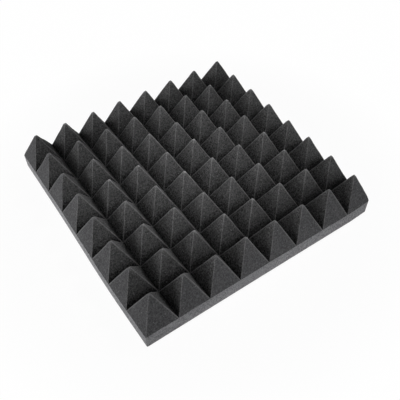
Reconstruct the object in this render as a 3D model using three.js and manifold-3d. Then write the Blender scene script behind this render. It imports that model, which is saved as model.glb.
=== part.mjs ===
// Acoustic foam panel: a square sheet of soft foam, contour-cut into rows of pyramids on a solid base,
// with a self-adhesive back. Millimetres, +Z up. The origin is under the middle of the back,
// and the pyramids point up, away from the wall that the back is stuck to.

import * as THREE from 'three';
import { mergeVertices } from 'three/addons/utils/BufferGeometryUtils.js';
import Module from 'manifold-3d';

const wasm = await Module();
wasm.setup();

// Driving dimensions.
const panelSide = 500; // edge of the square sheet
const pyramidsPerSide = 8; // rows and columns of pyramids, cut with no rim around them
const baseThickness = 30; // solid foam below the valleys
const pyramidHeight = 60; // from a valley up to a rounded tip
const tipRadius = 3; // rounding that the cutting wire leaves on the crests
const tipSegments = 4; // flat steps around one crest
const adhesiveThickness = 0.25; // film bonded all over the back
const linerThickness = 0.15; // silicone paper that covers the film until the panel is hung
const linerSlit = 1; // gap between the two halves of the liner
const cutOverrun = 10; // how far one cutting profile runs past the sheet

// Derived sizes.
const pitch = panelSide / pyramidsPerSide;
const half = panelSide / 2;
const adhesiveBottom = linerThickness;
const foamBottom = adhesiveBottom + adhesiveThickness;

// Looks, as plain colours: the foam is a dark grey.
const foamMaterial = new THREE.MeshStandardMaterial({ color: 0x4f4f50, roughness: 0.95, metalness: 0 });
const adhesiveMaterial = new THREE.MeshStandardMaterial({ color: 0xd9d6c4, roughness: 0.35, metalness: 0 });
const linerMaterial = new THREE.MeshStandardMaterial({ color: 0xe9e4d2, roughness: 0.55, metalness: 0 });

// The wire's path across the sheet, closed by the underside: one crest a pitch, straight flanks that
// meet in sharp valleys, and an arc on each crest that is tangent to both of its flanks.
function waveOutline(underside) {
  const crestHeight = baseThickness + pyramidHeight - tipRadius;
  const rise = crestHeight - baseThickness;
  const reach = Math.hypot(pitch / 2, rise);
  const flankAngle = Math.atan2(rise, pitch / 2) + Math.asin(tipRadius / reach);
  const quarterTurn = Math.PI / 2;
  const outline = new THREE.Shape();
  outline.moveTo(-half, underside);
  outline.lineTo(half, underside);
  outline.lineTo(half, baseThickness);
  for (let tooth = pyramidsPerSide - 1; tooth >= 0; tooth -= 1) {
    const valley = tooth * pitch - half;
    const crest = valley + pitch / 2;
    outline.absarc(crest, crestHeight, tipRadius, quarterTurn - flankAngle, quarterTurn + flankAngle, false);
    outline.lineTo(valley, baseThickness);
  }
  return outline;
}

// A prism of that outline, centred on the middle of its length, with the outline's height along +Z.
function wavePrism(underside, length) {
  const geometry = new THREE.ExtrudeGeometry(waveOutline(underside), {
    depth: length,
    steps: 1,
    curveSegments: tipSegments / 2,
    bevelEnabled: false,
  });
  geometry.translate(0, 0, -length / 2);
  geometry.rotateX(Math.PI / 2);
  return geometry;
}

function toSolid(geometry) {
  const bare = geometry.clone();
  bare.deleteAttribute('normal');
  bare.deleteAttribute('uv');
  const merged = mergeVertices(bare);
  return new wasm.Manifold(
    new wasm.Mesh({
      numProp: 3,
      vertProperties: new Float32Array(merged.attributes.position.array),
      triVerts: new Uint32Array(merged.index.array),
    }),
  );
}

function toGeometry(solid) {
  const mesh = solid.getMesh();
  const geometry = new THREE.BufferGeometry();
  geometry.setAttribute('position', new THREE.BufferAttribute(new Float32Array(mesh.vertProperties), 3));
  geometry.setIndex(new THREE.BufferAttribute(new Uint32Array(mesh.triVerts), 1));
  geometry.computeVertexNormals();
  return geometry;
}

// The sheet is cut twice by the same wave, the second time a quarter turn round. What both cuts
// leave is the pyramids on their base, with square outer sides.
function foamPanel() {
  const acrossX = wavePrism(0, panelSide + cutOverrun);
  const acrossY = wavePrism(-cutOverrun, panelSide + cutOverrun).rotateZ(Math.PI / 2);
  const mesh = new THREE.Mesh(toGeometry(toSolid(acrossX).intersect(toSolid(acrossY))), foamMaterial);
  mesh.name = 'foam_panel';
  mesh.position.z = foamBottom;
  return mesh;
}

function flatSheet(name, width, depth, thickness, centreX, bottom, material) {
  const mesh = new THREE.Mesh(new THREE.BoxGeometry(width, depth, thickness), material);
  mesh.name = name;
  mesh.position.set(centreX, 0, bottom + thickness / 2);
  return mesh;
}

function adhesiveFilm() {
  return flatSheet(
    'adhesive_film', panelSide, panelSide, adhesiveThickness, 0, adhesiveBottom, adhesiveMaterial,
  );
}

// Each half of the liner peels off by itself, from the slit in the middle outwards.
function releaseLiner(name, direction) {
  const width = (panelSide - linerSlit) / 2;
  const centreX = direction * (linerSlit + width) / 2;
  return flatSheet(name, width, panelSide, linerThickness, centreX, 0, linerMaterial);
}

const panel = new THREE.Group();
panel.add(foamPanel());
panel.add(adhesiveFilm());
panel.add(releaseLiner('release_liner_left', -1));
panel.add(releaseLiner('release_liner_right', 1));

export default panel;
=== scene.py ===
"""Dresses an acoustic foam panel: a charcoal foam sheet cut into pyramids, with a self-adhesive back."""

import math

import bpy
import numpy as np
from bpy.props import FloatProperty, FloatVectorProperty, IntProperty, PointerProperty
from mathutils import Matrix, Vector


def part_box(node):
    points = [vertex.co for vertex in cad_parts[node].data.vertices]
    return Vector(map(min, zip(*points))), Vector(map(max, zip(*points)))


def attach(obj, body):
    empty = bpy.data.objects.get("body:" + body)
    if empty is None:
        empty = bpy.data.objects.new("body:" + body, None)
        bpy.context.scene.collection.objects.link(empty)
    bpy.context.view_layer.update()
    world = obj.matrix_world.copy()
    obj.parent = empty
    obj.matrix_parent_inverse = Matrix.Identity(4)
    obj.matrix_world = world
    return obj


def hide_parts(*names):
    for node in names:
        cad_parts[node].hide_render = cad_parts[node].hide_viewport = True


bl_info = {
    "name": "Acoustic foam panel",
    "version": (1, 0, 0),
    "blender": (4, 5, 0),
    "location": "3D View > Sidebar > Foam panel",
    "description": "Builds a pyramid foam panel with its adhesive back, and a plain studio around it",
    "category": "Add Mesh",
}

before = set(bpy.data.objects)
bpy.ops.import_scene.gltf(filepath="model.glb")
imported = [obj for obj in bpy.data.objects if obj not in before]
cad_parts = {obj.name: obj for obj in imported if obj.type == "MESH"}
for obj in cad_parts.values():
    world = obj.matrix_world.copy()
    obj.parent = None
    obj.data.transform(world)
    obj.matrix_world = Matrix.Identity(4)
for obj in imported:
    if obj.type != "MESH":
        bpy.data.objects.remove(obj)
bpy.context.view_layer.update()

MM = 0.001
BODY = "root"
FOAM_LOW, FOAM_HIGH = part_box("foam_panel")
PANEL_SIDE = FOAM_HIGH.x - FOAM_LOW.x
PANEL_HEIGHT = FOAM_HIGH.z - FOAM_LOW.z


def base_height():
    """The height of the panel's plain sides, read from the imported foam: no valley lies lower."""
    slack = 0.01 * MM
    edge = FOAM_HIGH.x - slack
    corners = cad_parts["foam_panel"].data.vertices
    return max(v.co.z for v in corners if v.co.x > edge and v.co.y > edge) - FOAM_LOW.z


# Settings


class FoamShape(bpy.types.PropertyGroup):
    """Sizes of the foam's form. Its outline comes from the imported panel."""

    pyramids: IntProperty(
        name="Pyramids a side", description="Rows and columns of pyramids", default=8, min=1
    )
    base: FloatProperty(
        name="Base", description="Solid foam below the valleys", default=base_height(), unit="LENGTH"
    )
    swell: FloatProperty(
        name="Swell", description="How far the tips stand above the nominal height", default=1.4 * MM,
        unit="LENGTH",
    )
    tip_radius: FloatProperty(
        name="Tip radius", description="Rounding of the crests", default=3 * MM, unit="LENGTH"
    )
    corner_radius: FloatProperty(
        name="Corner radius", description="Rounding of the sheet's upright corners", default=2 * MM,
        unit="LENGTH",
    )
    worn_corner_radius: FloatProperty(
        name="Worn corner radius", description="Rounding of the corner at the near right",
        default=6 * MM, unit="LENGTH",
    )
    corner_lean: FloatProperty(
        name="Corner lean", description="How far the near right corner is pressed in",
        default=3.2 * MM, unit="LENGTH",
    )
    bow_out: FloatProperty(
        name="Bow", description="How far the left side bows outwards", default=2.9 * MM, unit="LENGTH"
    )
    bow_creep: FloatProperty(
        name="Creep", description="How far the bowed part has slid along the side", default=5.5 * MM,
        unit="LENGTH",
    )
    bow_place: FloatProperty(
        name="Bow place", description="Where along the side the bow is, from the middle",
        default=-112 * MM, unit="LENGTH",
    )
    bow_width: FloatProperty(
        name="Bow width", description="Half the length of the bowed part", default=133 * MM,
        unit="LENGTH",
    )
    lean: FloatProperty(
        name="Lean", description="How far the tips at the far left lean outwards", default=2.3 * MM,
        unit="LENGTH",
    )
    sag: FloatProperty(
        name="Sag", description="How much too deep the valleys at the far and the right side are cut",
        default=2.4 * MM, unit="LENGTH",
    )
    hollow: FloatProperty(
        name="Hollow", description="How much deeper still the valleys near the far left corner are cut",
        default=4.4 * MM, unit="LENGTH",
    )
    skew: FloatProperty(
        name="Skew", description="How far the sheet's corners lie off square", default=1.1 * MM,
        unit="LENGTH",
    )
    wander: FloatProperty(
        name="Wander", description="How far the cut strays from a straight line", default=0.7 * MM,
        unit="LENGTH",
    )
    nap: FloatProperty(
        name="Nap", description="Height of the torn cell walls on a cut face", default=0.16 * MM,
        unit="LENGTH",
    )
    cell: FloatProperty(
        name="Cell", description="Width of one foam cell", default=0.9 * MM, unit="LENGTH"
    )


class PanelColours(bpy.types.PropertyGroup):
    """Colours of the panel, as linear light."""

    foam: FloatVectorProperty(
        name="Foam", description="Faces that the wire cut into pyramids", subtype="COLOR",
        default=(0.0962, 0.0959, 0.0968),
    )
    outer_foam: FloatVectorProperty(
        name="Outer foam", description="Cut faces that look outwards, which are a little cooler",
        subtype="COLOR", default=(0.0979, 0.0976, 0.1013),
    )
    sawn_side: FloatVectorProperty(
        name="Sawn side", description="The plain outer sides, which are paler", subtype="COLOR",
        default=(0.332, 0.331, 0.343),
    )
    film: FloatVectorProperty(
        name="Adhesive", description="Adhesive film", subtype="COLOR", default=(0.68, 0.66, 0.56)
    )
    liner: FloatVectorProperty(
        name="Liner", description="Silicone paper", subtype="COLOR", default=(0.78, 0.74, 0.63)
    )


class StudioLight(bpy.types.PropertyGroup):
    """Strengths of the lamps and of the surroundings, and how the lamps are set up."""

    surroundings: FloatProperty(
        name="Surroundings", description="Even light from all round", default=0.06
    )
    overhead: FloatProperty(
        name="Overhead", description="Power of the lamp above the panel", default=152.0, unit="POWER"
    )
    high_right: FloatProperty(
        name="High right", description="Power of the high lamp at the right", default=87.0, unit="POWER"
    )
    rear_softbox: FloatProperty(
        name="Rear softbox", description="Power of the softbox behind at the left", default=7.9,
        unit="POWER",
    )
    front_softbox: FloatProperty(
        name="Front softbox", description="Power of the softbox in front at the right", default=4.2,
        unit="POWER",
    )
    left_softbox: FloatProperty(
        name="Left softbox", description="Power of the softbox in front at the left", default=3.8,
        unit="POWER",
    )
    distance: FloatProperty(
        name="Distance", description="From the panel to each lamp", default=1.5, unit="LENGTH"
    )
    pool: FloatProperty(
        name="Pool", description="Radius of the pool of light that a lamp throws", default=0.26,
        unit="LENGTH",
    )
    lamp_radius: FloatProperty(
        name="Lamp radius", description="Radius of a lamp's face, which softens its shadows",
        default=0.25, unit="LENGTH",
    )
    softbox_length: FloatProperty(
        name="Softbox length", description="Long side of a softbox's face", default=0.8, unit="LENGTH"
    )
    softbox_height: FloatProperty(
        name="Softbox height", description="Short side of a softbox's face", default=0.3, unit="LENGTH"
    )


# Helpers for shader nodes


def add(tree, kind, inputs=(), **settings):
    """A node of that kind. A socket gets a value, or a link where the value is another node's output."""
    node = tree.nodes.new(kind)
    for name, value in settings.items():
        setattr(node, name, value)
    for key, value in dict(inputs).items():
        if isinstance(value, bpy.types.NodeSocket):
            tree.links.new(value, node.inputs[key])
        else:
            node.inputs[key].default_value = value
    return node


def sums(tree, operation, *values):
    """Arithmetic on numbers and outputs."""
    return add(tree, "ShaderNodeMath", enumerate(values), operation=operation).outputs[0]


def ramp(tree, value, low, high, start=0.0, end=1.0):
    """value, stretched so that low gives start and high gives end, and held between them."""
    inputs = {"Value": value, "From Min": low, "From Max": high, "To Min": start, "To Max": end}
    return add(tree, "ShaderNodeMapRange", inputs).outputs["Result"]


def blend(tree, factor, first, second, mode="MIX"):
    """Two colours mixed."""
    inputs = {0: factor, 6: first, 7: second}
    return add(tree, "ShaderNodeMix", inputs, data_type="RGBA", blend_type=mode).outputs[2]


def noise(tree, place, scale, detail, roughness=0.5):
    """Cloudy noise with that many clouds a metre."""
    inputs = {"Vector": place, "Scale": scale, "Detail": detail, "Roughness": roughness}
    return add(tree, "ShaderNodeTexNoise", inputs).outputs[0]


def spread(tree, clouds, start, end):
    """Noise, most of which lies between 0.3 and 0.7, stretched to run from start to end."""
    return ramp(tree, clouds, 0.3, 0.7, start, end)


def voronoi(tree, place, scale, feature="F1"):
    """Cells of random form, that many a metre."""
    inputs = {"Vector": place, "Scale": scale, "Randomness": 1.0}
    return add(tree, "ShaderNodeTexVoronoi", inputs, feature=feature)


def stretched(tree, place, factors):
    """Coordinates times a factor for each axis. A small factor draws a texture out along its axis."""
    return add(tree, "ShaderNodeVectorMath", {0: place, 1: factors}, operation="MULTIPLY").outputs[0]


def raised(tree, height, distance, strength):
    """The surface's normal, tilted by a height."""
    inputs = {"Height": height, "Distance": distance, "Strength": strength}
    return add(tree, "ShaderNodeBump", inputs).outputs["Normal"]


def grey(tree, value):
    """A value as a grey colour."""
    return add(tree, "ShaderNodeCombineColor", {channel: value for channel in range(3)}).outputs[0]


def named_value(tree, name, output="Fac"):
    """What the mesh stores under that name."""
    node = add(tree, "ShaderNodeAttribute", attribute_name=name, attribute_type="GEOMETRY")
    return node.outputs[output]


def rgba(colour, gain=1.0):
    """A colour times gain, with no channel above 1, and opaque."""
    return (*(min(1.0, c * gain) for c in colour), 1.0)


def group(name, inputs, outputs):
    """An empty node group with those sockets: its tree, its input node and its output node."""
    tree = bpy.data.node_groups.new(name, "ShaderNodeTree")
    for label, kind, default in inputs:
        socket = tree.interface.new_socket(label, in_out="INPUT", socket_type=kind)
        if default is not None:
            socket.default_value = default
    for label, kind in outputs:
        tree.interface.new_socket(label, in_out="OUTPUT", socket_type=kind)
    return tree, tree.nodes.new("NodeGroupInput"), tree.nodes.new("NodeGroupOutput")


def material(name):
    """An empty material: itself, its tree and its Principled shader."""
    made = bpy.data.materials.new(name)
    made.use_nodes = True
    return made, made.node_tree, made.node_tree.nodes["Principled BSDF"]


# Finishes


def foam_cells():
    """Open cells on a cut face: Shade is around 0.5, darker in a pore and lighter on a cell wall.

    Speck marks single bright spots, and Relief is how high the surface stands.
    """
    clumps_per_cell, specks_per_cell, bright_share = 0.33, 0.2, 0.25
    clouds_per_metre, streaks_per_metre = 28.0, 420.0
    inputs = [
        ("Place", "NodeSocketVector", None),
        ("Cell", "NodeSocketFloat", 0.9 * MM),
        ("Clumps", "NodeSocketFloat", 1.0),
        ("Streaks", "NodeSocketFloat", 0.2),
    ]
    outputs = [("Shade", "NodeSocketFloat"), ("Speck", "NodeSocketFloat"), ("Relief", "NodeSocketFloat")]
    tree, given, result = group("Foam cells", inputs, outputs)
    place = given.outputs["Place"]
    cells_per_metre = sums(tree, "DIVIDE", 1.0, given.outputs["Cell"])
    pores = voronoi(tree, place, cells_per_metre, "DISTANCE_TO_EDGE")
    walls = ramp(tree, pores.outputs["Distance"], 0.02, 0.32, 1.0, 0.0)
    clump_scale = sums(tree, "MULTIPLY", cells_per_metre, clumps_per_cell)
    clumps = noise(tree, place, clump_scale, detail=2.5, roughness=0.8)
    clouds = noise(tree, place, clouds_per_metre, detail=2.0)
    streaks = noise(tree, stretched(tree, place, (1.0, 1.0, 0.06)), streaks_per_metre, detail=1.0)
    lumps = ramp(tree, clumps, 0.39, 0.68, -0.4, 0.64)
    lumpy = sums(tree, "MULTIPLY", lumps, given.outputs["Clumps"])
    fine = ramp(tree, walls, 0.0, 1.0, 0.4, 0.62)
    soft = sums(tree, "ADD", spread(tree, clouds, -0.1, 0.1), fine)
    streaky = sums(tree, "MULTIPLY", spread(tree, streaks, -1.0, 1.0), given.outputs["Streaks"])
    shade = sums(tree, "ADD", sums(tree, "ADD", soft, streaky), lumpy)
    dots = voronoi(tree, place, sums(tree, "MULTIPLY", cells_per_metre, specks_per_cell))
    lot = add(tree, "ShaderNodeSeparateColor", {0: dots.outputs["Color"]}).outputs[0]
    near = ramp(tree, dots.outputs["Distance"], 0.1, 0.26, 1.0, 0.0)
    speck = sums(tree, "MULTIPLY", near, sums(tree, "GREATER_THAN", lot, 1.0 - bright_share))
    relief = sums(tree, "ADD", sums(tree, "MULTIPLY", walls, 0.4), clumps)
    for label, value in (("Shade", shade), ("Speck", speck), ("Relief", relief)):
        tree.links.new(value, result.inputs[label])
    return tree


def cells_in(tree, cells, shape, clumps, streaks):
    """The foam cells placed in a material, by the object's own coordinates."""
    place = add(tree, "ShaderNodeTexCoord").outputs["Object"]
    inputs = {"Place": place, "Cell": shape.cell, "Clumps": clumps, "Streaks": streaks}
    return add(tree, "ShaderNodeGroup", inputs, node_tree=cells)


def matte(tree, shader, relief):
    """Foam scatters light and has next to no gloss, and its cell walls stand up a little."""
    wall_height, bump_strength = 0.1 * MM, 0.6
    tree.links.new(raised(tree, relief, wall_height, bump_strength), shader.inputs["Normal"])
    shader.inputs["Roughness"].default_value = 0.95
    shader.inputs["Specular IOR Level"].default_value = 0.15


def wire_cut_foam(cells, shape, colours):
    """Pyramid faces: grain and streaks, with a painted highlight on the hips and the tips.

    Painted shade makes the faces between pyramids darker towards a valley, where they shade each other.
    The faces on the outside of the sheet get none. They are a little cooler, and their grain is weaker.
    """
    made, tree, shader = material("Wire-cut foam")
    node = cells_in(tree, cells, shape, clumps=1.35, streaks=0.18)
    across, along, rise = add(
        tree, "ShaderNodeSeparateXYZ", {0: named_value(tree, "cut_profile", "Vector")}
    ).outputs
    outer = named_value(tree, "outer_face")

    # Painted highlights on the hips and the tips, and the grain's bright specks. The hips that outline
    # the pyramids seen from the near left get a wider and less broken painted highlight than the others
    hip_core, other_hip_width, rim_lit_hip_width = 0.3 * MM, 1.3 * MM, 2.3 * MM
    other_hip_least, rim_lit_hip_least = 0.35, 0.6
    hip_gain, tip_gain, speck_gain = 0.85, 0.26, 0.78
    off_hip = sums(tree, "ABSOLUTE", sums(tree, "SUBTRACT", across, along))
    rim_lit_hip = named_value(tree, "rim_lit_hip")
    hip = ramp(tree, off_hip, hip_core, ramp(tree, rim_lit_hip, 0.0, 1.0, other_hip_width, rim_lit_hip_width), 1.0, 0.0)
    least = ramp(tree, rim_lit_hip, 0.0, 1.0, other_hip_least, rim_lit_hip_least)
    broken = ramp(tree, node.outputs["Shade"], 0.0, 1.0, least, 1.0)
    hip_light = sums(tree, "MULTIPLY", sums(tree, "MULTIPLY", hip, broken), hip_gain)
    tip_light = ramp(tree, rise, 0.9, 1.0, 0.0, tip_gain)
    speck_light = sums(tree, "MULTIPLY", node.outputs["Speck"], speck_gain)
    # torn: the painted highlights on the hips and the tips, and the grain's bright specks
    torn = sums(tree, "MAXIMUM", sums(tree, "MAXIMUM", hip_light, tip_light), speck_light)

    # Painted shade: how much of the foam's colour stays at each share of the height, darker towards the
    # valleys, where the pyramids shade each other. The faces that look to the front or the rear get the
    # most painted shade at the foot.
    painted_shade_curve = ((0.0, 0.09), (0.19, 0.35), (0.42, 0.68), (0.7, 0.81), (1.0, 0.88))
    foot_shade_top, foot_shade_depth = 0.26, 0.95
    shade_by_height = add(tree, "ShaderNodeFloatCurve", {"Value": rise})
    curve = shade_by_height.mapping.curves[0]
    curve.points[0].location = painted_shade_curve[0]
    curve.points[1].location = painted_shade_curve[-1]
    for height_share, left in painted_shade_curve[1:-1]:
        curve.points.new(height_share, left)
    shade_by_height.mapping.update()
    front_or_rear = sums(tree, "GREATER_THAN", along, across)
    foot_painted_shade = sums(tree, "MULTIPLY", ramp(tree, rise, 0.0, foot_shade_top, foot_shade_depth, 0.0), front_or_rear)
    after_painted_shade = sums(tree, "MULTIPLY", shade_by_height.outputs[0], sums(tree, "SUBTRACT", 1.0, foot_painted_shade))
    # The outward faces get no painted shade
    after_painted_shade = sums(tree, "MAXIMUM", after_painted_shade, outer)

    # The grain, laid around the painted shade, and stronger on inner faces that look to a side
    side_grain, other_grain, outer_grain = 1.2, 0.97, 0.86
    dark_grain, lit_grain = 0.38, 0.74
    not_side = sums(tree, "MAXIMUM", front_or_rear, outer)
    strength = ramp(tree, not_side, 0.0, 1.0, side_grain, other_grain)
    strength = sums(tree, "MULTIPLY", strength, ramp(tree, outer, 0.0, 1.0, 1.0, outer_grain))
    swing = sums(tree, "MULTIPLY", ramp(tree, after_painted_shade, 0.0, 1.0, dark_grain, lit_grain), strength)
    cells_off = sums(tree, "SUBTRACT", node.outputs["Shade"], 0.5)
    grain = sums(tree, "MAXIMUM", sums(tree, "MULTIPLY_ADD", cells_off, swing, after_painted_shade), 0.01)

    # The colour: the foam times the grain with its painted shade, under the painted highlight, which is
    # wall_gain times the foam and is dimmed by the painted shade towards the valleys
    wall_gain, highlight_least = 2.8, 0.3
    foam = blend(tree, outer, rgba(colours.foam), rgba(colours.outer_foam))
    cut_face = blend(tree, 1.0, foam, grey(tree, grain), "MULTIPLY")
    highlight_dimming = grey(tree, ramp(tree, after_painted_shade, 0.0, 1.0, highlight_least, 1.0))
    painted_highlight_colour = blend(tree, 1.0, rgba(colours.foam, wall_gain), highlight_dimming, "MULTIPLY")
    tree.links.new(blend(tree, torn, cut_face, painted_highlight_colour), shader.inputs["Base Color"])
    matte(tree, shader, node.outputs["Relief"])
    return made


def sawn_foam(cells, shape, colours):
    """The sheet's plain sides, sawn across the cells: paler and coarser."""
    pore_gain, wall_gain, speck_gain, speck_share = 0.6, 1.4, 1.6, 0.5
    made, tree, shader = material("Sawn foam")
    node = cells_in(tree, cells, shape, clumps=1.3, streaks=0.05)
    pores, walls = rgba(colours.sawn_side, pore_gain), rgba(colours.sawn_side, wall_gain)
    grain = blend(tree, node.outputs["Shade"], pores, walls)
    bright = sums(tree, "MULTIPLY", node.outputs["Speck"], speck_share)
    lit = blend(tree, bright, grain, rgba(colours.sawn_side, speck_gain))
    tree.links.new(lit, shader.inputs["Base Color"])
    matte(tree, shader, node.outputs["Relief"])
    return made


def sheet_finish(name, colour, roughness, fibre_share):
    """Film or paper: a faint cloudy tone, fine fibres and a slight waviness in the gloss."""
    clouds_per_metre, fibres_per_metre = 18.0, 900.0
    dark_gain, pale_gain, gloss_swing = 0.9, 1.08, 0.06
    fibre_height, bump_strength = 0.05 * MM, 0.5
    made, tree, shader = material(name)
    place = add(tree, "ShaderNodeTexCoord").outputs["Object"]
    clouds = noise(tree, place, clouds_per_metre, detail=4.0)
    fibres = noise(tree, stretched(tree, place, (1.0, 0.2, 1.0)), fibres_per_metre, detail=3.0)
    cloud = spread(tree, clouds, 0.0, 1.0 - fibre_share)
    tone = sums(tree, "ADD", cloud, spread(tree, fibres, 0.0, fibre_share))
    toned = blend(tree, tone, rgba(colour, dark_gain), rgba(colour, pale_gain))
    tree.links.new(toned, shader.inputs["Base Color"])
    gloss = spread(tree, clouds, roughness - gloss_swing, roughness + gloss_swing)
    tree.links.new(gloss, shader.inputs["Roughness"])
    tree.links.new(raised(tree, tone, fibre_height, bump_strength), shader.inputs["Normal"])
    return made


# The forms of a used, soft sheet


def smooth_noise(points, wavelength, seed):
    """A slow random field over the points, about from -1 to 1, the same each run."""
    random = np.random.default_rng(seed)
    waves, shortest, longest = 14, 0.7, 1.6
    total = np.zeros(len(points))
    for _ in range(waves):
        heading = random.normal(size=3)
        heading *= 2 * math.pi / (wavelength * random.uniform(shortest, longest) * np.linalg.norm(heading))
        total += np.sin(points @ heading + random.uniform(0, 2 * math.pi))
    return total / math.sqrt(waves / 2) / 2


def bowed(points, shape):
    """The points moved as the soft sheet lies.

    Its left side bows out near the front, its tips lean out at the far left, and it is a bit skew.
    """
    across, along = points[:, 0] * 2 / PANEL_SIDE, points[:, 1] * 2 / PANEL_SIDE
    height_share = np.clip((points[:, 2] - FOAM_LOW.z - shape.base) / (PANEL_HEIGHT - shape.base), 0, 1)
    lean = shape.lean * height_share * (1 - across) / 2 * (1 + along) / 2
    reach = np.exp(-(((points[:, 1] - shape.bow_place) / shape.bow_width) ** 2))
    pull = ((1 - across) / 2) ** 2 * reach
    moved = points.copy()
    moved[:, 0] -= shape.bow_out * pull + lean
    moved[:, 1] -= shape.bow_creep * pull + shape.skew * across * along
    return moved


def sunken(points, shape):
    """The points with the valleys cut too deep, but for those at the left and the near side.

    The hollow's place and width are shares of half the panel's side.
    """
    hollow_across, hollow_along, hollow_width = -0.68, 0.95, 0.38
    edge_power, side_power = 6, 1.5
    across, along = points[:, 0] * 2 / PANEL_SIDE, points[:, 1] * 2 / PANEL_SIDE
    inland = (1 - ((1 - across) / 2) ** edge_power) * (1 - ((1 - along) / 2) ** edge_power)
    far_or_right = ((1 + np.maximum(across, along)) / 2) ** side_power
    from_hollow = (across - hollow_across) ** 2 + (along - hollow_along) ** 2
    far_left = np.exp(-from_hollow / hollow_width**2)
    height = points[:, 2] - FOAM_LOW.z
    valley_share = np.interp(height, [0, shape.base, PANEL_HEIGHT], [0, 1, 0])
    moved = points.copy()
    moved[:, 2] -= (shape.sag * far_or_right + shape.hollow * far_left) * inland * valley_share
    return moved


def wandered(points, shape):
    """The points strayed as on a soft sheet: slowly over the panel, and a bit from tip to tip."""
    slow_wave, slow_share, slow_seed = 300 * MM, 0.6, 11
    local_wave, local_share, local_seed = 55 * MM, 0.8, 21
    height_share = np.clip((points[:, 2] - FOAM_LOW.z) / PANEL_HEIGHT, 0, 1)
    moved = points.copy()
    for axis in range(3):
        slow = smooth_noise(points, slow_wave, slow_seed + axis)
        local = smooth_noise(points, local_wave, local_seed + axis)
        moved[:, axis] += shape.wander * height_share * (slow_share * slow + local_share * local)
    return moved


def rounded_corners(points, shape):
    """Upright corners drawn in from a square to an arc, the near right one most."""
    near_right = (points[:, 0] > 0) & (points[:, 1] < 0)
    radius = np.where(near_right, shape.worn_corner_radius, shape.corner_radius)[:, None]
    straight = PANEL_SIDE / 2 - radius
    over = np.abs(points[:, :2]) - straight
    corner = (over > 0).all(axis=1)
    part = over[corner]
    shrink = part.max(axis=1) / np.maximum(np.hypot(part[:, 0], part[:, 1]), 1e-9)
    moved = points.copy()
    moved[corner, :2] = np.sign(points[corner, :2]) * (straight[corner] + part * shrink[:, None])
    return moved


def pressed_corner(points, shape):
    """The points of the near right pyramid pressed inwards, its tip not at all and its corner most."""
    corner = np.array([PANEL_SIDE, -PANEL_SIDE]) / 2
    tip_away = PANEL_SIDE / shape.pyramids / math.sqrt(2)
    away = np.hypot(*(points[:, :2] - corner).T)
    push = shape.corner_lean * np.clip(1 - away / tip_away, 0, 1)
    moved = points.copy()
    moved[:, :2] -= np.sign(corner) * push[:, None] / math.sqrt(2)
    return moved


def settled(points, shape):
    """The points of a square sheet moved to where the used, soft sheet has them."""
    return bowed(sunken(pressed_corner(rounded_corners(points, shape), shape), shape), shape)


# The foam sheet


def new_object(name, data):
    """An object with that data, linked into the scene."""
    made = bpy.data.objects.new(name, data)
    bpy.context.scene.collection.objects.link(made)
    return made


def rim_of(index):
    """The outer points of a grid, in their order round it."""
    return np.concatenate([index[:-1, 0], index[-1, :-1], index[:0:-1, -1], index[0, :0:-1]])


def crest_height(distance, pitch, rise, radius):
    """Height above the valleys at that distance from a crest, with flanks tangent to the crest's arc."""
    middle = rise - radius
    reach = math.hypot(pitch / 2, middle)
    flank = math.atan2(middle, pitch / 2) + math.asin(radius / reach)
    touching = radius * math.sin(flank)
    arc = middle + np.sqrt(np.maximum(radius**2 - distance**2, 0))
    return np.where(distance < touching, arc, (pitch / 2 - distance) * math.tan(flank))


def steps_from_crest(pitch, count):
    """Distances from a crest to its valley, closer together at both ends."""
    share = np.arange(count + 1) / count
    gather_share = 0.6
    return pitch / 2 * (share - gather_share * np.sin(2 * math.pi * share) / (2 * math.pi))


def cut_lines(shape, pitch, count):
    """Places of the mesh lines across the sheet, and how far each lies past the nearest crest."""
    out = steps_from_crest(pitch, count)
    one = np.concatenate([-out[::-1], out[1:-1]])
    places, distances = [], []
    for row in range(shape.pyramids):
        crest = (row + 0.5) * pitch - PANEL_SIDE / 2
        places.append(crest + one)
        distances.append(one)
    places.append([PANEL_SIDE / 2])
    distances.append([pitch / 2])
    return np.concatenate(places), np.concatenate(distances)


def pyramid_faces(index, half_count):
    """Faces over the grid: first the quads, then two triangles for each square that a hip crosses."""
    a, b, c, d = index[:-1, :-1], index[1:, :-1], index[1:, 1:], index[:-1, 1:]
    step = np.arange(len(index) - 1) % (2 * half_count)
    one, other = np.meshgrid(step, step, indexing="ij")
    forward, backward = one == other, one + other == 2 * half_count - 1
    plain = ~(forward | backward)
    kinds = (
        (plain, (a, b, c, d)),
        (forward, (a, b, c)),
        (forward, (a, c, d)),
        (backward, (a, b, d)),
        (backward, (b, c, d)),
    )
    return [np.stack([corner[chosen] for corner in corners], 1) for chosen, corners in kinds]


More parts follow.
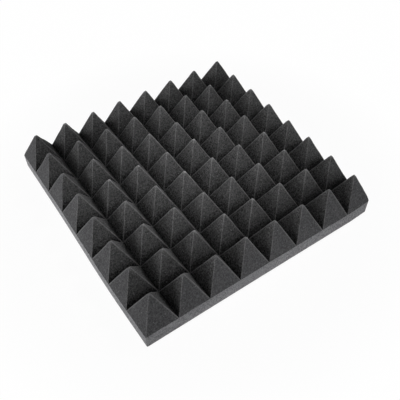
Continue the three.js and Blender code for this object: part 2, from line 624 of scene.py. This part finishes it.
def foam_mesh(shape):
    """The sheet as one closed mesh: its points, their profiles, its faces and how many are cut faces.

    A profile is what the finish needs to know at a point: how far it is from its crests, its height
    share, and whether the hip there gets the wider painted highlight: those to the left rear and right
    front of a tip, which outline the pyramids seen from the near left.
    """
    half_count, side_rows = 16, 12
    pitch = PANEL_SIDE / shape.pyramids
    places, distances = cut_lines(shape, pitch, half_count)
    x, y = np.meshgrid(places, places, indexing="ij")
    off_x, off_y = np.meshgrid(distances, distances, indexing="ij")
    across, along = np.abs(off_x), np.abs(off_y)
    rise = PANEL_HEIGHT + shape.swell - shape.base
    height = crest_height(np.maximum(across, along), pitch, rise, shape.tip_radius)
    top = np.stack([x.ravel(), y.ravel(), (height + shape.base + FOAM_LOW.z).ravel()], 1)
    # 1 on the hips that get the wider painted highlight, to the left rear and right front of a tip
    rim_lit_hip = (off_x * off_y < 0).astype(float)
    profile = np.stack([across.ravel(), along.ravel(), (height / rise).ravel(), rim_lit_hip.ravel()], 1)

    index = np.arange(x.size).reshape(x.shape)
    rim = rim_of(index)
    parts, rings = [top], [rim]
    for row in range(1, side_rows + 1):
        ring = top[rim].copy()
        ring[:, 2] = FOAM_LOW.z + shape.base * (1 - row / side_rows)
        parts.append(ring)
        rings.append(len(top) + (row - 1) * len(rim) + np.arange(len(rim)))
    parts.append(np.array([[0, 0, FOAM_LOW.z]]))
    points = np.concatenate(parts)
    centre = len(points) - 1
    profiles = np.zeros((len(points), 4))
    profiles[: len(top)] = profile

    faces = pyramid_faces(index, half_count)
    cut_faces = sum(len(f) for f in faces)
    for upper, lower in zip(rings, rings[1:]):
        faces.append(np.stack([upper, lower, np.roll(lower, -1), np.roll(upper, -1)], 1))
    last = rings[-1]
    faces.append(np.stack([np.full(len(last), centre), np.roll(last, -1), last], 1))
    return points, profiles, [face for part in faces for face in part.tolist()], cut_faces


def store(mesh, name, domain, values, kind="FLOAT", key="value"):
    """Keeps values on the mesh, for its finish."""
    layer = mesh.attributes.new(name, kind, domain)
    layer.data.foreach_set(key, values.astype(np.float32).ravel())


def mark_outer_faces(mesh, cut_faces, shape):
    """Gives 1 to the pyramid faces that look outwards from the sheet, and 0 to all others."""
    least_outward = 0.5
    count = len(mesh.polygons)
    centres, normals = np.empty(3 * count, np.float32), np.empty(3 * count, np.float32)
    mesh.polygons.foreach_get("center", centres)
    mesh.polygons.foreach_get("normal", normals)
    place, facing = centres.reshape(-1, 3)[:, :2], normals.reshape(-1, 3)[:, :2]
    outward = np.sign(place) * facing > least_outward
    in_rim = np.abs(place) > PANEL_SIDE / 2 - PANEL_SIDE / shape.pyramids / 2
    outer = (outward & in_rim).any(axis=1)
    outer[cut_faces:] = False
    store(mesh, "outer_face", "FACE", outer)


def make_foam_sheet(shape, colours):
    """The foam, with the nap of the cut and its two finishes."""
    nap_seed, flat_height, sharp_angle = 5, 0.5 * MM, math.radians(42)
    points, profiles, faces, cut_faces = foam_mesh(shape)
    points = wandered(settled(points, shape), shape)
    nap = np.random.default_rng(nap_seed).normal(size=points.shape) * shape.nap / 2
    nap[points[:, 2] < FOAM_LOW.z + flat_height] = 0
    points += nap
    points[:, 2] = np.clip(points[:, 2], FOAM_LOW.z, None)
    mesh = bpy.data.meshes.new("foam_sheet")
    mesh.from_pydata(points.tolist(), [], faces)
    store(mesh, "cut_profile", "POINT", profiles[:, :3], "FLOAT_VECTOR", "vector")
    store(mesh, "rim_lit_hip", "POINT", profiles[:, 3])
    cells = foam_cells()
    mesh.materials.append(wire_cut_foam(cells, shape, colours))
    mesh.materials.append(sawn_foam(cells, shape, colours))
    slots = np.ones(len(mesh.polygons), np.int32)
    slots[:cut_faces] = 0
    mesh.polygons.foreach_set("material_index", slots)
    mark_outer_faces(mesh, cut_faces, shape)
    mesh.polygons.foreach_set("use_smooth", np.ones(len(mesh.polygons), bool))
    mesh.set_sharp_from_angle(angle=sharp_angle)
    mesh.update()
    sheet = new_object("foam_sheet", mesh)
    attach(sheet, BODY)
    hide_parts("foam_panel")


# The adhesive back


def sheet_lines(low, high, corner):
    """Places of mesh lines from low to high, closer together where a corner is rounded."""
    step, corner_steps = 20 * MM, 5
    close = np.linspace(0, corner, corner_steps + 1)[:-1]
    middle = np.linspace(low + corner, high - corner, round((high - low) / step))
    return np.concatenate([low + close, middle, high - close[::-1]])


def make_backing(name, node, finish, shape):
    """A film or paper that follows the foam's outline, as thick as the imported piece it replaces."""
    low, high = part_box(node)
    lines = [sheet_lines(low[axis], high[axis], shape.worn_corner_radius) for axis in range(2)]
    x, y = np.meshgrid(*lines, indexing="ij")
    index = np.arange(x.size).reshape(x.shape)
    layers = [np.stack([x.ravel(), y.ravel(), np.full(x.size, z)], 1) for z in (low.z, high.z)]
    points = settled(np.concatenate(layers), shape)
    under = np.stack([index[:-1, :-1], index[:-1, 1:], index[1:, 1:], index[1:, :-1]], 2).reshape(-1, 4)
    rim = rim_of(index)
    ahead = np.roll(rim, -1)
    edge = np.stack([rim, ahead, ahead + x.size, rim + x.size], 1)
    faces = np.concatenate([under, under[:, ::-1] + x.size, edge])
    mesh = bpy.data.meshes.new(name)
    mesh.from_pydata(points.tolist(), [], faces.tolist())
    mesh.materials.append(finish)
    made = new_object(name, mesh)
    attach(made, BODY)
    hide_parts(node)


# The studio

# The camera stands before the sheet's near corner and looks down on it.
CAMERA_PLACE = Vector((-398.1, -644.0, 823.1)) * MM
CAMERA_TARGET = Vector((-4.0, -39.4, 0.4)) * MM
CAMERA_ROLL = math.radians(-1.22)
CAMERA_LENS_MM = 49.4
CAMERA_SENSOR_MM = 36.0

# What the lamps are aimed at, about halfway up the panel: its middle, and a point nearer to the camera.
MIDDLE = Vector((0, 0, 50)) * MM
NEAR_MIDDLE = Vector((-20, -40, 50)) * MM

# The floor reaches far past what the camera sees, and lies just below the panel.
FLOOR_SIDE = 12.0
FLOOR_DROP = 0.1 * MM
FLOOR_GREY = 0.9


def make_camera():
    """The camera, with its place, aim, roll and lens as set above."""
    data = bpy.data.cameras.new("camera")
    data.lens = CAMERA_LENS_MM
    data.sensor_width = CAMERA_SENSOR_MM
    camera = new_object("camera", data)
    turn = (CAMERA_TARGET - CAMERA_PLACE).to_track_quat("-Z", "Y").to_matrix()
    turn = turn @ Matrix.Rotation(CAMERA_ROLL, 3, "Z")
    camera.matrix_world = Matrix.Translation(CAMERA_PLACE) @ turn.to_4x4()
    bpy.context.scene.camera = camera


def place_lamp(name, data, light, azimuth, elevation, aim=MIDDLE):
    """A lamp on a sphere about the panel, at those angles in degrees."""
    turn, rise = math.radians(azimuth), math.radians(elevation)
    away = Vector((math.cos(rise) * math.cos(turn), math.cos(rise) * math.sin(turn), math.sin(rise)))
    lamp = new_object(name, data)
    lamp.location = MIDDLE + away * light.distance
    lamp.rotation_euler = (aim - lamp.location).to_track_quat("-Z", "Y").to_euler()


def pool_lamp(name, power, light, azimuth, elevation, aim=MIDDLE):
    """A large round lamp whose light is strongest where it is aimed."""
    data = bpy.data.lights.new(name, "SPOT")
    data.energy = power
    data.spot_size = 2 * math.atan(light.pool / light.distance)
    data.spot_blend = 1.0
    data.shadow_soft_size = light.lamp_radius
    place_lamp(name, data, light, azimuth, elevation, aim)


def low_softbox(name, power, light, azimuth):
    """A long low lamp that stands just above the floor."""
    elevation = 9
    data = bpy.data.lights.new(name, "AREA")
    data.energy = power
    data.shape = "RECTANGLE"
    data.size = light.softbox_length
    data.size_y = light.softbox_height
    place_lamp(name, data, light, azimuth, elevation)


def make_floor():
    """A plain pale floor, paler still where the camera sees it, that keeps the panel's shadow."""
    near, far = 0.6 * PANEL_SIDE, PANEL_SIDE
    near_share, far_share = 0.95, 0.995
    made, tree, shader = material("Studio floor")
    tree.nodes.remove(shader)
    seen = add(tree, "ShaderNodeLightPath")
    bright = add(tree, "ShaderNodeEmission", {"Color": (1, 1, 1, 1), "Strength": 1.0})
    plain = add(tree, "ShaderNodeBsdfDiffuse", {"Color": (FLOOR_GREY, FLOOR_GREY, FLOOR_GREY, 1)})
    place = add(tree, "ShaderNodeTexCoord").outputs["Object"]
    from_panel = add(tree, "ShaderNodeVectorMath", {0: place}, operation="LENGTH").outputs["Value"]
    paler_outside = ramp(tree, from_panel, near, far, near_share, far_share)
    shown = sums(tree, "MAXIMUM", seen.outputs["Is Camera Ray"], seen.outputs["Is Glossy Ray"])
    shown = sums(tree, "MAXIMUM", shown, seen.outputs["Is Transmission Ray"])
    factor = sums(tree, "MULTIPLY", shown, paler_outside)
    mixed = add(tree, "ShaderNodeMixShader", {0: factor, 1: plain.outputs[0], 2: bright.outputs[0]})
    tree.links.new(mixed.outputs[0], tree.nodes["Material Output"].inputs["Surface"])
    bpy.ops.mesh.primitive_plane_add(size=FLOOR_SIDE, location=(0, 0, -FLOOR_DROP))
    floor = bpy.context.object
    floor.name = "studio_floor"
    floor.data.materials.append(made)


def make_world(strength):
    """Even light from all round, which the camera sees as white."""
    world = bpy.data.worlds.new("Studio")
    world.use_nodes = True
    tree = world.node_tree
    background = tree.nodes["Background"]
    seen = add(tree, "ShaderNodeLightPath").outputs["Is Camera Ray"]
    tree.links.new(ramp(tree, seen, 0.0, 1.0, strength, 1.0), background.inputs["Strength"])
    background.inputs["Color"].default_value = (1, 1, 1, 1)
    bpy.context.scene.world = world


def make_studio(light):
    """The floor, the surroundings, the lamps and the camera."""
    make_floor()
    make_world(light.surroundings)
    pool_lamp("overhead_lamp", light.overhead, light, azimuth=0, elevation=90)
    pool_lamp("high_right_lamp", light.high_right, light, azimuth=0, elevation=50, aim=NEAR_MIDDLE)
    low_softbox("rear_softbox", light.rear_softbox, light, azimuth=135)
    low_softbox("front_softbox", light.front_softbox, light, azimuth=315)
    low_softbox("left_softbox", light.left_softbox, light, azimuth=204)
    make_camera()
    bpy.context.scene.view_settings.view_transform = "Standard"


# Operators and the sidebar


class FOAMPANEL_OT_foam_sheet(bpy.types.Operator):
    """Build the foam sheet with its pyramids"""

    bl_idname = "foam_panel.foam_sheet"
    bl_label = "Foam sheet"

    def execute(self, context):
        make_foam_sheet(context.scene.foam_shape, context.scene.panel_colours)
        return {"FINISHED"}


class FOAMPANEL_OT_adhesive_back(bpy.types.Operator):
    """Build the adhesive film and both halves of its release liner"""

    bl_idname = "foam_panel.adhesive_back"
    bl_label = "Adhesive back"

    def execute(self, context):
        colours = context.scene.panel_colours
        film = sheet_finish("Adhesive film", colours.film, roughness=0.3, fibre_share=0.3)
        liner = sheet_finish("Silicone paper", colours.liner, roughness=0.5, fibre_share=0.6)
        shape = context.scene.foam_shape
        make_backing("film_sheet", "adhesive_film", film, shape)
        make_backing("left_liner_sheet", "release_liner_left", liner, shape)
        make_backing("right_liner_sheet", "release_liner_right", liner, shape)
        return {"FINISHED"}


class FOAMPANEL_OT_studio(bpy.types.Operator):
    """Set up the floor, the lights and the camera"""

    bl_idname = "foam_panel.studio"
    bl_label = "Studio"

    def execute(self, context):
        make_studio(context.scene.studio_light)
        return {"FINISHED"}


class FOAMPANEL_PT_sidebar(bpy.types.Panel):
    """The panel's settings and its makers"""

    bl_label = "Foam panel"
    bl_idname = "FOAMPANEL_PT_sidebar"
    bl_space_type = "VIEW_3D"
    bl_region_type = "UI"
    bl_category = "Foam panel"

    def draw(self, context):
        scene = context.scene
        for settings in (scene.foam_shape, scene.panel_colours, scene.studio_light):
            box = self.layout.box()
            for name in type(settings).__annotations__:
                box.prop(settings, name)
        for operator in OPERATORS:
            self.layout.operator(operator.bl_idname)


SETTINGS = {"foam_shape": FoamShape, "panel_colours": PanelColours, "studio_light": StudioLight}
OPERATORS = (FOAMPANEL_OT_foam_sheet, FOAMPANEL_OT_adhesive_back, FOAMPANEL_OT_studio)


def register():
    for name, settings in SETTINGS.items():
        bpy.utils.register_class(settings)
        setattr(bpy.types.Scene, name, PointerProperty(type=settings))
    for made in (*OPERATORS, FOAMPANEL_PT_sidebar):
        bpy.utils.register_class(made)


def unregister():
    for made in (FOAMPANEL_PT_sidebar, *reversed(OPERATORS)):
        bpy.utils.unregister_class(made)
    for name, settings in reversed(SETTINGS.items()):
        delattr(bpy.types.Scene, name)
        bpy.utils.unregister_class(settings)


def main():
    """Builds the panel and the studio through their operators."""
    register()
    bpy.ops.foam_panel.foam_sheet()
    bpy.ops.foam_panel.adhesive_back()
    bpy.ops.foam_panel.studio()


if __name__ == "__main__":
    main()
